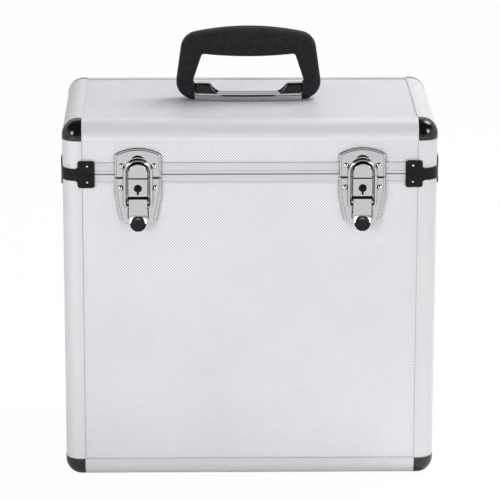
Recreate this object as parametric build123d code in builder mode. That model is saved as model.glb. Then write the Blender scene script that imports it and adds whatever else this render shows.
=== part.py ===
# Record carrying case: aluminium-edged box with a hinged lid, two key-lock draw latches and a
# folding top handle. Millimetres. +Z is up, X is the width, the latches face -Y, and the origin
# is in the middle of the case on the surface it stands on.

import os
from math import atan2, cos, degrees, radians, sin, tan

from build123d import *

# ---- Case body -------------------------------------------------------------------------------
case_width = 352.0
case_depth = 205.0
case_height = 350.0
lid_height = 50.0

# Rounded corner extrusions. The panels slide into slots in their legs.
edge_leg = 18.5
edge_radius = 15.0
outer_lip = 1.2
panel_thickness = 5.0
inner_lip = 1.0
slot_end = 11.0
slot_web = 1.0
panel_end_gap = 0.3

# Rim rails along the seam. The base rail carries a tongue, the lid rail a groove.
base_rail_height = 9.5
base_rail_head = 3.0
lid_rail_height = 10.5
lid_rail_head = 4.5
rail_edge_radius = 0.8
rail_flute_depth = 0.5
rail_flute_start = 2.6
rail_flute_end_land = 1.9
tongue_inset = 4.6
tongue_thickness = 1.2
tongue_height = 2.5
tongue_clearance = 0.5

# Black corner caps and seam corner brackets.
cap_bulge = 0.4
bracket_sheet = 1.2
bracket_gap = 0.05
bracket_tab_start = 14.5
bracket_tab_end = 30.5
bracket_seam_gap = 0.15
bracket_corner_radius = 2.5
lid_bracket_band = 5.0
lid_bracket_height = 12.6
base_bracket_band = 6.2
base_bracket_height = 13.0
bracket_rivet_height = 7.8
bracket_rivet_inset = 23.5

# Linings.
wall_lining = 2.0
floor_pad = 3.0
lid_pad = 5.0
lining_gap = 0.3

# Rivets.
rivet_hole_clearance = 0.05
latch_rivet_head_radius = 2.7
latch_rivet_head_height = 1.5
latch_rivet_shank_radius = 1.5
pin_rivet_head_radius = 1.0
pin_rivet_head_height = 0.5
pin_rivet_shank_radius = 0.8

# ---- Draw latches ----------------------------------------------------------------------------
latch_spacing = 210.0
latch_sheet = 1.2
tray_height = 3.0
tray_rim = 1.3
tray_bend_radius = 0.7
plate_width = 44.8

catch_top = 25.0
catch_shoulder = 18.7
catch_bottom = 1.7
catch_corner_radius = 3.0
catch_skirt_start = 0.3
boss_face_height = 9.0
boss_root_width = 19.2
boss_face_width = 17.6
boss_arc_centre = 2.7
boss_edge_radius = 0.7
catch_window_radius = 7.4
catch_window_top = 18.7
catch_window_inner_radius = 13.9
catch_rivet_spread = 30.4
catch_rivet_rise = 8.5

plate_gap = 1.3
plate_taper_start = 21.0
plate_bottom = 48.4
plate_bottom_width = 34.0
plate_corner_radius = 6.0
housing_bottom = 19.5
plate_rivet_spread = 32.6
plate_rivet_drop = 12.6

keyhole_drop = 11.8
keyhole_radius = 3.8
key_slot_width = 1.9
key_slot_end = 18.2
key_post_radius = 1.1
key_post_top_gap = 0.4

lever_pivot_drop = 25.0
lever_pivot_reach = 6.25
lever_width = 17.0
lever_sheet = 1.2
lever_top_drop = 22.4
lever_bend_drop = 38.2
lever_bend_radius = 3.0
lever_face_end = 36.3
tab_length = 14.9
tab_angle = 20.0
tab_width = 15.4
tab_dish_radius = 22.0
tab_dish_depth = 0.45
barrel_radius = boss_face_height - lever_pivot_reach
lever_pin_radius = 1.25
lever_pin_clearance = 0.05
tooth_width = 5.0
tooth_thickness = 1.4
tooth_radius = 4.2
ear_sheet = 1.1
ear_radius = 2.3
ear_gap = 0.3
ear_overlap = 0.2
window_top_gap = 0.7
window_bottom_gap = 0.8

loop_wire_radius = 1.4
loop_half_width = 12.3
loop_bend_radius = 2.6
loop_pivot_drop = 30.1
loop_pivot_reach = 4.75
loop_pin_clearance = 0.05
loop_lug_radius = 2.6
loop_seat_gap = 0.3
loop_end_inset = 0.2

bolt_width = 8.0
bolt_thickness = 1.6
bolt_top_drop = 7.0
bolt_tip_drop = 19.3
bolt_seat_gap = 0.3
bolt_travel = 2.5
bolt_slot_clearance = 0.1
bolt_key_notch = 3.0

# ---- Hinges ----------------------------------------------------------------------------------
hinge_spacing = 210.0
hinge_width = 38.0
hinge_sheet = 1.5
hinge_barrel_radius = 3.6
hinge_pin_radius = 1.8
hinge_pin_clearance = 0.05
hinge_wall_gap = 0.3
hinge_knuckle_gap = 0.25
hinge_knuckle_count = 5
hinge_leaf_start = 4.2
hinge_leaf_end = 22.0
hinge_cheek_width = 3.0
hinge_cheek_radius = 7.1
hinge_cheek_inner_radius = 2.4
hinge_open_angle = 100.0
hinge_stop_margin = 1.0
hinge_corner_radius = 3.0
hinge_rivet_pitch = 12.5
hinge_rivet_rise = 16.5

# ---- Handle ----------------------------------------------------------------------------------
bracket_length = 102.0
bracket_rise = 6.2
bracket_sheet_steel = 1.2
bracket_front_end = 9.8
bracket_front_bow = 3.2
bracket_back = 7.0
bracket_bend_radius = 1.6
knuckle_radius = 5.8
knuckle_top_length = 12.4
knuckle_swoop_radius = 17.5
hood_lap = 0.3
knuckle_end_inset = 0.8
handle_thickness = 19.4
pivot_rise = 10.8
handle_foot_gap = 0.3
handle_top = 59.9
handle_shoulder_x = 63.2
handle_shoulder_z = 51.7
handle_shoulder_radius = 17.0
handle_heel_x = 70.8
handle_heel_z = -2.5
handle_heel_radius = 17.0
handle_sole_slope = 27.8
handle_grip_low = 31.5
handle_opening_x = 44.5
handle_opening_z = 34.0
handle_opening_radius = 3.0
handle_leg_bend_radius = 12.0
handle_leg_inner_x = 54.2
handle_leg_inner_z = 4.6
handle_edge_radius = 6.0
handle_boss_rise = 5.5
handle_boss_shoulder = 3.5
handle_boss_gap = 0.4
stub_end_inset = 0.5
stub_clearance = 0.08
backing_length = 84.0
backing_width = 14.0
backing_sheet = 1.5
backing_corner_radius = 3.0
backing_pocket_gap = 0.5
handle_rivet_radius = 2.0
handle_rivet_head_radius = 3.4
handle_rivet_head_height = 1.2
handle_rivet_inset = 10.0
handle_rivet_middle = 12.0

# ---- Worked out from the sizes above ---------------------------------------------------------
half_width = case_width / 2
half_depth = case_depth / 2
seam = case_height - lid_height
wall = outer_lip + panel_thickness + inner_lip
panel_back = outer_lip + panel_thickness
panel_inset = slot_end + panel_end_gap
corner_low = (Align.MIN, Align.MIN)
corner_low_3d = (Align.MIN, Align.MIN, Align.MIN)
handle_rivet_end = backing_length / 2 - handle_rivet_inset
handle_rivet_stations = (
    -handle_rivet_end,
    -handle_rivet_middle,
    handle_rivet_middle,
    handle_rivet_end,
)

# Each side of the case: its outward direction, the direction along it, and how far its outer
# plane and its two ends are from the middle.
sides = {
    "front": (Vector(0, -1, 0), Vector(1, 0, 0), half_depth, half_width),
    "right": (Vector(1, 0, 0), Vector(0, 1, 0), half_width, half_depth),
    "back": (Vector(0, 1, 0), Vector(-1, 0, 0), half_depth, half_width),
    "left": (Vector(-1, 0, 0), Vector(0, -1, 0), half_width, half_depth),
}


def section_plane(side, inset):
    # A section's plane at one end of a side: x runs inward from the outer plane, y runs up.
    outward, along, reach, run = sides[side]
    return Plane(origin=outward * reach - along * (run - inset), x_dir=-outward, z_dir=along)


def face_plane(side, offset=0.0):
    # The outer plane of a side: x runs along it, y runs up from the ground, z points outward.
    outward, along, reach, run = sides[side]
    return Plane(origin=outward * (reach + offset), x_dir=along, z_dir=outward)


def clear_run(side, inset):
    return 2 * (sides[side][3] - inset)


def finish(builder, name):
    builder.part.label = name
    export_step(builder.part, f"parts/{name}.step")


os.makedirs("parts", exist_ok=True)


# ---- Edge extrusions -------------------------------------------------------------------------
# The section has its outer corner at the sketch's origin and its legs along +x and +y.
chamber_end = slot_end - slot_web

with BuildSketch() as edge_chamber:
    with Locations((outer_lip, outer_lip)):
        Rectangle(chamber_end - outer_lip, chamber_end - outer_lip, align=corner_low)
    with Locations((panel_back, panel_back)):
        Rectangle(chamber_end, chamber_end, align=corner_low, mode=Mode.SUBTRACT)
    with Locations((edge_radius, edge_radius)):
        Circle(edge_radius - outer_lip, mode=Mode.INTERSECT)

with BuildSketch() as edge_section:
    Rectangle(edge_leg, edge_leg, align=corner_low)
    fillet(edge_section.vertices().sort_by_distance((0, 0)).first, edge_radius)
    with Locations((wall, wall)):
        Rectangle(edge_leg, edge_leg, align=corner_low, mode=Mode.SUBTRACT)
    with Locations((slot_end, outer_lip)):
        Rectangle(edge_leg, panel_thickness, align=corner_low, mode=Mode.SUBTRACT)
    with Locations((outer_lip, slot_end)):
        Rectangle(panel_thickness, edge_leg, align=corner_low, mode=Mode.SUBTRACT)
    add(edge_chamber.sketch, mode=Mode.SUBTRACT)


def corner_posts(low, high):
    # One upright extrusion, repeated at the four corners.
    with BuildPart() as posts:
        with BuildSketch(Plane.XY.offset(low)):
            with Locations((-half_width, -half_depth)):
                add(edge_section.sketch)
        extrude(amount=high - low)
        mirror(about=Plane.YZ)
        mirror(about=Plane.XZ)
    return posts


base_corner_posts = corner_posts(edge_leg, seam)
finish(base_corner_posts, "base_corner_posts")
lid_corner_posts = corner_posts(seam, case_height - edge_leg)
finish(lid_corner_posts, "lid_corner_posts")

with BuildPart() as base_bottom_edges:
    for side in sides:
        with BuildSketch(section_plane(side, edge_leg)):
            add(edge_section.sketch)
        extrude(amount=clear_run(side, edge_leg))
finish(base_bottom_edges, "base_bottom_edges")

with BuildPart() as lid_top_edges:
    add(base_bottom_edges.part.mirror(Plane.XY.offset(case_height / 2)))
finish(lid_top_edges, "lid_top_edges")

# ---- Corner caps: a ball-nosed corner moulding with slots for the three panels ---------------
with BuildPart(Plane(origin=(-half_width, -half_depth, 0))) as base_corner_caps:
    with Locations((-cap_bulge, -cap_bulge, 0)):
        Box(edge_leg + cap_bulge, edge_leg + cap_bulge, edge_leg, align=corner_low_3d)
    nose = base_corner_caps.edges().sort_by_distance((-half_width, -half_depth, 0))[:3]
    fillet(nose, edge_radius + cap_bulge)
    with Locations((wall, wall, wall)):
        Box(edge_leg, edge_leg, edge_leg, align=corner_low_3d, mode=Mode.SUBTRACT)
    slot = (edge_leg, edge_leg, panel_thickness)
    with Locations((slot_end, slot_end, outer_lip)):
        Box(*slot, align=corner_low_3d, mode=Mode.SUBTRACT)
    with Locations((slot_end, outer_lip, slot_end)):
        Box(slot[0], slot[2], slot[1], align=corner_low_3d, mode=Mode.SUBTRACT)
    with Locations((outer_lip, slot_end, slot_end)):
        Box(slot[2], slot[0], slot[1], align=corner_low_3d, mode=Mode.SUBTRACT)
    mirror(about=Plane.YZ)
    mirror(about=Plane.XZ)
finish(base_corner_caps, "base_corner_caps")

with BuildPart() as lid_corner_caps:
    add(base_corner_caps.part.mirror(Plane.XY.offset(case_height / 2)))
finish(lid_corner_caps, "lid_corner_caps")

# ---- Rim rails. Section x runs inward from the outer plane, y runs up from the seam ----------
flute_slope = rail_flute_depth


def rail_section(height, head, up):
    # The plain rail: lips either side of the panel, and a shallow flute along its face.
    with BuildSketch() as section:
        with BuildLine():
            Polyline((0, 0), (wall, 0), (wall, up * height), (0, up * height), close=True)
        make_face()
        fillet(section.vertices().sort_by_distance((0, 0)).first, rail_edge_radius)
        slot_low = min(up * head, up * height)
        with Locations((outer_lip, slot_low)):
            Rectangle(panel_thickness, height - head, align=corner_low, mode=Mode.SUBTRACT)
        flute_end = height - rail_flute_end_land
        with BuildLine():
            Polyline(
                (0, up * rail_flute_start),
                (rail_flute_depth, up * (rail_flute_start + flute_slope)),
                (rail_flute_depth, up * (flute_end - flute_slope)),
                (0, up * flute_end),
                close=True,
            )
        make_face(mode=Mode.SUBTRACT)
    return section


base_rail_plain = rail_section(base_rail_height, base_rail_head, -1)
lid_rail_plain = rail_section(lid_rail_height, lid_rail_head, 1)

with BuildSketch() as base_rail_section:
    add(base_rail_plain.sketch)
    with Locations((tongue_inset, 0)):
        Rectangle(tongue_thickness, tongue_height, align=corner_low)

with BuildSketch() as lid_rail_section:
    add(lid_rail_plain.sketch)
    with Locations((tongue_inset - tongue_clearance, 0)):
        Rectangle(
            tongue_thickness + 2 * tongue_clearance,
            tongue_height + tongue_clearance,
            align=corner_low,
            mode=Mode.SUBTRACT,
        )

# Rivet stations on a side's outer plane, as (along, up from the ground).
lid_bracket_rivet_z = seam + bracket_rivet_height
base_bracket_rivet_z = seam - bracket_rivet_height


def bracket_rivet_points(side, height):
    reach = sides[side][3] - bracket_rivet_inset
    return [(-reach, height), (reach, height)]


def latch_points(spread, height):
    # Two rivets either side of each latch's centre line.
    return [
        (sign * latch_spacing / 2 + offset, height)
        for sign in (-1, 1)
        for offset in (-spread / 2, spread / 2)
    ]


def hinge_points(height):
    return [
        (sign * hinge_spacing / 2 + step * hinge_rivet_pitch, height)
        for sign in (-1, 1)
        for step in (-1, 0, 1)
    ]


catch_rivet_points = latch_points(catch_rivet_spread, seam + catch_rivet_rise)
plate_rivet_points = latch_points(plate_rivet_spread, seam - plate_rivet_drop)
hinge_lid_rivet_points = hinge_points(seam + hinge_rivet_rise)
hinge_base_rivet_points = hinge_points(seam - hinge_rivet_rise)


def drill(side, points, shank_radius, depth=wall):
    # Rivet holes through the part being built, from a side's outer plane inward.
    with BuildSketch(face_plane(side)) as holes:
        with Locations(*points):
            Circle(shank_radius + rivet_hole_clearance)
    extrude(holes.sketch, amount=-depth, mode=Mode.SUBTRACT)


def rim_rail(section, side, bracket_height):
    with BuildPart() as rail:
        with BuildSketch(section_plane(side, edge_leg)):
            with Locations((0, seam)):
                add(section.sketch)
        extrude(amount=clear_run(side, edge_leg))
        drill(side, bracket_rivet_points(side, bracket_height), pin_rivet_shank_radius)
        if section is lid_rail_section and side == "front":
            drill(side, catch_rivet_points, latch_rivet_shank_radius)
    return rail


for side in sides:
    finish(rim_rail(base_rail_section, side, base_bracket_rivet_z), f"base_{side}_rim_rail")
    finish(rim_rail(lid_rail_section, side, lid_bracket_rivet_z), f"lid_{side}_rim_rail")


# ---- Panels ----------------------------------------------------------------------------------
def wall_panel(side, low, high, holes):
    # One flat panel between two heights, with (points, shank radius) pairs drilled through it.
    with BuildPart() as panel:
        with BuildSketch(section_plane(side, panel_inset)):
            with Locations((outer_lip, low)):
                Rectangle(panel_thickness, high - low, align=corner_low)
        extrude(amount=clear_run(side, panel_inset))
        for points, shank_radius in holes:
            drill(side, points, shank_radius)
    return panel


def level_panel(low, rivet_stations):
    # The floor or the top, with the handle rivets' holes where it carries the handle.
    with BuildPart() as panel:
        with BuildSketch(Plane.XY.offset(low)):
            Rectangle(case_width - 2 * panel_inset, case_depth - 2 * panel_inset)
            if rivet_stations:
                with Locations(*[(x, 0) for x in rivet_stations]):
                    Circle(handle_rivet_radius + rivet_hole_clearance, mode=Mode.SUBTRACT)
        extrude(amount=panel_thickness)
    return panel


base_panel_top = seam - base_rail_head - panel_end_gap
lid_panel_low = seam + lid_rail_head + panel_end_gap
lid_panel_top = case_height - panel_inset
latch_shank = latch_rivet_shank_radius
pin_shank = pin_rivet_shank_radius
base_holes = {
    "front": [(plate_rivet_points, latch_shank)],
    "back": [(hinge_base_rivet_points, latch_shank)],
}
lid_holes = {
    "front": [(catch_rivet_points, latch_shank)],
    "back": [(hinge_lid_rivet_points, latch_shank)],
}
for side in sides:
    base_pins = (bracket_rivet_points(side, base_bracket_rivet_z), pin_shank)
    base_panel = wall_panel(side, panel_inset, base_panel_top, base_holes.get(side, []) + [base_pins])
    finish(base_panel, f"base_{side}_panel")
    lid_pins = (bracket_rivet_points(side, lid_bracket_rivet_z), pin_shank)
    lid_panel = wall_panel(side, lid_panel_low, lid_panel_top, lid_holes.get(side, []) + [lid_pins])
    finish(lid_panel, f"lid_{side}_panel")

finish(level_panel(outer_lip, ()), "base_floor_panel")
top_panel_low = case_height - panel_back
finish(level_panel(top_panel_low, handle_rivet_stations), "lid_top_panel")


# ---- Seam corner brackets: a band round the corner between two riveted tabs ------------------
def seam_brackets(up, band, tab):
    inner = edge_radius + bracket_gap
    outer = inner + bracket_sheet
    corner = Plane(origin=(-half_width, -half_depth, seam + up * bracket_seam_gap))
    with BuildPart(corner) as brackets:
        with BuildSketch(corner) as strip:
            with Locations((-bracket_gap - bracket_sheet, -bracket_gap - bracket_sheet)):
                reach = bracket_tab_end + bracket_gap + bracket_sheet
                Rectangle(reach, reach, align=corner_low)
            fillet(strip.vertices().sort_by_distance((-outer, -outer)).first, outer)
        extrude(amount=up * tab)
        with BuildSketch(corner) as hollow:
            with Locations((-bracket_gap, -bracket_gap)):
                Rectangle(2 * bracket_tab_end, 2 * bracket_tab_end, align=corner_low)
            fillet(hollow.vertices().sort_by_distance((-inner, -inner)).first, inner)
        extrude(amount=up * tab, mode=Mode.SUBTRACT)
        with BuildSketch(corner.offset(up * band)):
            with Locations((bracket_tab_start, bracket_tab_start)):
                Rectangle(2 * edge_leg, 2 * edge_leg, align=(Align.MAX, Align.MAX))
        extrude(amount=up * tab, mode=Mode.SUBTRACT)
        through = brackets.edges().filter_by(Axis.X) + brackets.edges().filter_by(Axis.Y)
        corners = [
            edge
            for edge in through
            if edge.length < 2 * bracket_sheet and abs(edge.center().Z - seam) > band / 2
        ]
        fillet(corners, bracket_corner_radius)
        for side in ("front", "left"):
            reach = sides[side][3] - bracket_rivet_inset
            station = -reach if side == "front" else reach
            height = seam + up * bracket_rivet_height
            with BuildSketch(face_plane(side, bracket_sheet + bracket_gap)):
                with Locations((station, height)):
                    Circle(pin_rivet_shank_radius + rivet_hole_clearance)
            extrude(amount=-2 * bracket_sheet, mode=Mode.SUBTRACT)
        mirror(about=Plane.YZ)
        mirror(about=Plane.XZ)
    return brackets


finish(seam_brackets(1, lid_bracket_band, lid_bracket_height), "lid_seam_brackets")
finish(seam_brackets(-1, base_bracket_band, base_bracket_height), "base_seam_brackets")


# ---- Rivets: a domed head on a face, and a shank that ends flush inside the wall -------------
def rivets(plane, points, head_radius, head_height, shank_radius, shank_length):
    # Adds rivets to the part being built. The plane is the face that the heads sit on.
    ball_radius = (head_radius**2 + head_height**2) / (2 * head_height)
    for x, y in points:
        seat = plane.shift_origin(plane.from_local_coords(Vector(x, y, 0)))
        axial = Plane(origin=seat.origin, x_dir=plane.x_dir, z_dir=plane.x_dir.cross(plane.z_dir))
        with BuildSketch(axial) as profile:
            with BuildLine():
                Polyline(
                    (0, head_height),
                    (0, -shank_length),
                    (shank_radius, -shank_length),
                    (shank_radius, 0),
                    (head_radius, 0),
                )
                RadiusArc((head_radius, 0), (0, head_height), -ball_radius)
            make_face()
        revolve(profile.sketch, axis=Axis(seat.origin, plane.z_dir))


def bracket_pins(height, name):
    with BuildPart() as pins:
        for side in sides:
            seat = bracket_gap + bracket_sheet
            rivets(
                face_plane(side, seat),
                bracket_rivet_points(side, height),
                pin_rivet_head_radius,
                pin_rivet_head_height,
                pin_rivet_shank_radius,
                seat + wall,
            )
    finish(pins, name)


bracket_pins(lid_bracket_rivet_z, "lid_seam_bracket_rivets")
bracket_pins(base_bracket_rivet_z, "base_seam_bracket_rivets")

# ---- Linings: foam sheets between the extrusions' inner lips ---------------------------------
lining_inset = edge_leg + lining_gap


def wall_linings(low, high):
    with BuildPart() as linings:
        for side in sides:
            with BuildSketch(section_plane(side, lining_inset)):
                with Locations((panel_back, low)):
                    Rectangle(wall_lining, high - low, align=corner_low)
            extrude(amount=clear_run(side, lining_inset))
    return linings


base_lining_top = seam - base_rail_height - lining_gap
lid_lining_low = seam + lid_rail_height + lining_gap
finish(wall_linings(lining_inset, base_lining_top), "base_wall_linings")
finish(wall_linings(lid_lining_low, case_height - lining_inset), "lid_wall_linings")

pad_size = (case_width - 2 * lining_inset, case_depth - 2 * lining_inset)
with BuildPart() as base_floor_pad:
    with BuildSketch(Plane.XY.offset(panel_back)):
        Rectangle(*pad_size)
    extrude(amount=floor_pad)
finish(base_floor_pad, "base_floor_pad")

# The lid's pad has a pocket over the handle's backing plate and rivet heads.
pocket_depth = backing_sheet + handle_rivet_head_height + backing_pocket_gap
with BuildPart() as lid_top_pad:
    with BuildSketch(Plane.XY.offset(top_panel_low)):
        Rectangle(*pad_size)
    extrude(amount=-lid_pad)
    with BuildSketch(Plane.XY.offset(top_panel_low)):
        Rectangle(backing_length + 2 * backing_pocket_gap, backing_width + 2 * backing_pocket_gap)
    extrude(amount=-pocket_depth, mode=Mode.SUBTRACT)
finish(lid_top_pad, "lid_top_pad")

# ---- Draw latches ----------------------------------------------------------------------------
latches = {"left": -latch_spacing / 2, "right": latch_spacing / 2}
boss_rise = boss_face_height - tray_height
boss_draft = degrees(atan2((boss_root_width - boss_face_width) / 2, boss_rise))
tray_draft = degrees(atan2(tray_rim, tray_height + outer_lip))
tray_back = tray_height - latch_sheet
trim = 10.0
loop_pin_drop = -loop_pivot_drop


def latch_plane(place, reach):
    # Facing a latch: x across, y up from the seam, z outward, `reach` out from the rails' face.
    return Plane(origin=(place, -half_depth - reach, seam), x_dir=(1, 0, 0), z_dir=(0, -1, 0))


def latch_side_plane(across):
    # A latch seen from its side: x outward from the rails' face, y up, z towards -X.
    return Plane(origin=(across, -half_depth, seam), x_dir=(0, -1, 0), z_dir=(-1, 0, 0))


def pressed_tray(outline, place, rail_height, rail_side):
    # A pressed plate with sloping rims: it bears on the rail and reaches past it to the panel.
    with BuildPart() as tray:
        with BuildSketch(latch_plane(place, -outer_lip)):
            add(outline.sketch)
        extrude(amount=tray_height + outer_lip, taper=tray_draft)
        fillet(tray.faces().sort_by(Axis.Y).first.edges(), tray_bend_radius)
        with BuildSketch(latch_plane(place, -outer_lip)):
            offset(outline.sketch, amount=-latch_sheet)
        extrude(amount=tray_back + outer_lip, taper=tray_draft, mode=Mode.SUBTRACT)
        with BuildSketch(latch_plane(place, 0)):
            low = 0 if rail_side > 0 else -rail_height - bracket_seam_gap
            with Locations((0, low)):
                Rectangle(
                    2 * plate_width,
                    rail_height + bracket_seam_gap,
                    align=(Align.CENTER, Align.MIN),
                )
        extrude(amount=-2 * outer_lip, mode=Mode.SUBTRACT)
    return tray


def cut_across(place, low, high, start, depth):
    # Removes everything between two heights, from `start` outward by `depth`.
    with BuildSketch(latch_plane(place, start)) as band:
        with Locations((0, low)):
            Rectangle(3 * plate_width, high - low, align=(Align.CENTER, Align.MIN))
    extrude(band.sketch, amount=depth, mode=Mode.SUBTRACT)


with BuildSketch() as catch_outline:
    with BuildLine():
        Polyline(
            (-plate_width / 2, catch_shoulder),
            (-plate_width / 2, -trim),
            (plate_width / 2, -trim),
            (plate_width / 2, catch_shoulder),
        )
        ThreePointArc(
            (plate_width / 2, catch_shoulder), (0, catch_top), (-plate_width / 2, catch_shoulder)
        )
    make_face()
    fillet(catch_outline.vertices().group_by(Axis.Y)[-1], catch_corner_radius)

with BuildSketch() as boss_outline:
    with Locations((0, boss_arc_centre)):
        Circle(boss_root_width / 2)
        Rectangle(boss_root_width, trim + boss_arc_centre, align=(Align.CENTER, Align.MAX))

with BuildSketch() as catch_window:
    with Locations((0, catch_window_top - catch_window_radius)):
        Circle(catch_window_radius)
    with Locations((0, boss_arc_centre)):
        Circle(catch_window_inner_radius, mode=Mode.SUBTRACT)

for name, place in latches.items():
    with BuildPart() as catch_plate:
        add(pressed_tray(catch_outline, place, lid_rail_height, 1).part)
        with BuildSketch(latch_plane(place, tray_height)):
            add(boss_outline.sketch)
        extrude(amount=boss_rise, taper=boss_draft)
        fillet(catch_plate.faces().sort_by(Axis.Y).first.edges(), boss_edge_radius)
        with BuildSketch(latch_plane(place, tray_back)):
            offset(boss_outline.sketch, amount=-latch_sheet)
        extrude(amount=boss_rise, taper=boss_draft, mode=Mode.SUBTRACT)
        with BuildSketch(latch_plane(place, 0)):
            add(catch_window.sketch)
            with Locations(
                (-catch_rivet_spread / 2, catch_rivet_rise), (catch_rivet_spread / 2, catch_rivet_rise)
            ):
                Circle(latch_rivet_shank_radius + rivet_hole_clearance)
        extrude(amount=2 * tray_height, mode=Mode.SUBTRACT)
        cut_across(place, -2 * trim, -catch_bottom, -2 * outer_lip, 2 * boss_face_height)
        cut_across(place, -2 * trim, catch_skirt_start, -2 * outer_lip, 2 * outer_lip + tray_back)
    finish(catch_plate, f"{name}_catch_plate")

plate_top = -catch_bottom - plate_gap
with BuildSketch() as plate_outline:
    with BuildLine():
        Polyline(
            (-plate_width / 2, trim),
            (-plate_width / 2, -plate_taper_start),
            (-plate_bottom_width / 2, -plate_bottom),
            (plate_bottom_width / 2, -plate_bottom),
            (plate_width / 2, -plate_taper_start),
            (plate_width / 2, trim),
            close=True,
        )
    make_face()
    fillet(plate_outline.vertices().group_by(Axis.Y)[0], plate_corner_radius)

with BuildSketch() as keyhole:
    with Locations((0, -keyhole_drop)):
        Circle(keyhole_radius)
        Rectangle(key_slot_width, key_slot_end - keyhole_drop, align=(Align.CENTER, Align.MAX))

window_top = -housing_bottom - window_top_gap
window_bottom = -loop_pivot_drop - loop_lug_radius - window_bottom_gap
ear_inner = lever_width / 2 + ear_gap
ear_outer = ear_inner + ear_sheet
pin_fit = rivet_hole_clearance / 2

for name, place in latches.items():
    with BuildPart() as latch_plate:
        add(pressed_tray(plate_outline, place, base_rail_height, -1).part)
        cut_across(place, plate_top, 2 * trim, -2 * outer_lip, 2 * boss_face_height)
        # The lock housing is a bridge, open at its top and bottom.
        with BuildSketch(latch_plane(place, tray_height)):
            Rectangle(boss_root_width, 2 * housing_bottom + 2 * trim)
        extrude(amount=boss_rise, taper=boss_draft)
        fillet(latch_plate.faces().sort_by(Axis.Y).first.edges(), boss_edge_radius)
        with BuildSketch(latch_plane(place, tray_height)):
            Rectangle(boss_root_width - 2 * latch_sheet, 4 * housing_bottom)
        extrude(amount=boss_rise - latch_sheet, taper=boss_draft, mode=Mode.SUBTRACT)
        cut_across(place, plate_top, 4 * trim, tray_height, boss_face_height)
        cut_across(place, -6 * trim, -housing_bottom, tray_height, boss_face_height)
        with BuildSketch(latch_plane(place, tray_height)):
            add(keyhole.sketch)
        extrude(amount=boss_face_height, mode=Mode.SUBTRACT)
        with BuildSketch(latch_plane(place, 0)):
            with Locations((0, window_top)):
                Rectangle(
                    2 * (ear_outer - ear_overlap),
                    window_top - window_bottom,
                    align=(Align.CENTER, Align.MAX),
                )
            with Locations(
                (-plate_rivet_spread / 2, -plate_rivet_drop), (plate_rivet_spread / 2, -plate_rivet_drop)
            ):
                Circle(latch_rivet_shank_radius + rivet_hole_clearance)
        extrude(amount=tray_height, mode=Mode.SUBTRACT)
        # Ears at the window's sides carry the lever's pin.
        for inner_face in (place + ear_outer, place - ear_inner):
            with BuildSketch(latch_side_plane(inner_face)):
                with Locations((lever_pivot_reach, -lever_pivot_drop)):
                    Circle(ear_radius)
                    Rectangle(
                        lever_pivot_reach - tray_back,
                        2 * ear_radius,
                        align=(Align.MAX, Align.CENTER),
                    )
                    Circle(lever_pin_radius + pin_fit, mode=Mode.SUBTRACT)
            extrude(amount=ear_sheet)
        # The post that the hollow key turns on.
        with BuildSketch(latch_plane(place, tray_back)):
            with Locations((0, -keyhole_drop)):
                Circle(key_post_radius)
        extrude(amount=boss_face_height - key_post_top_gap - tray_back)
    finish(latch_plate, f"{name}_latch_plate")

    with BuildPart() as latch_pin:
        with BuildSketch(latch_side_plane(place + ear_outer)):
            with Locations((lever_pivot_reach, -lever_pivot_drop)):
                Circle(lever_pin_radius)
        extrude(amount=2 * ear_outer)
    finish(latch_pin, f"{name}_latch_pin")

# The lever: a bent face and thumb tab, two side walls, and a barrel rolled round the pin.
sheet_middle = boss_face_height - lever_sheet / 2
lever_top_wall = lever_top_drop + lever_sheet / 2
tab_out = sin(radians(tab_angle))
tab_down = cos(radians(tab_angle))
tab_end = (sheet_middle + tab_length * tab_out, -lever_bend_drop - tab_length * tab_down)
dish_along = tab_length - tab_width / 2
dish_off = lever_sheet / 2 + tab_dish_radius - tab_dish_depth
dish_centre = (
    sheet_middle + dish_along * tab_out + dish_off * tab_down,
    -lever_bend_drop - dish_along * tab_down + dish_off * tab_out,
)

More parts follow.
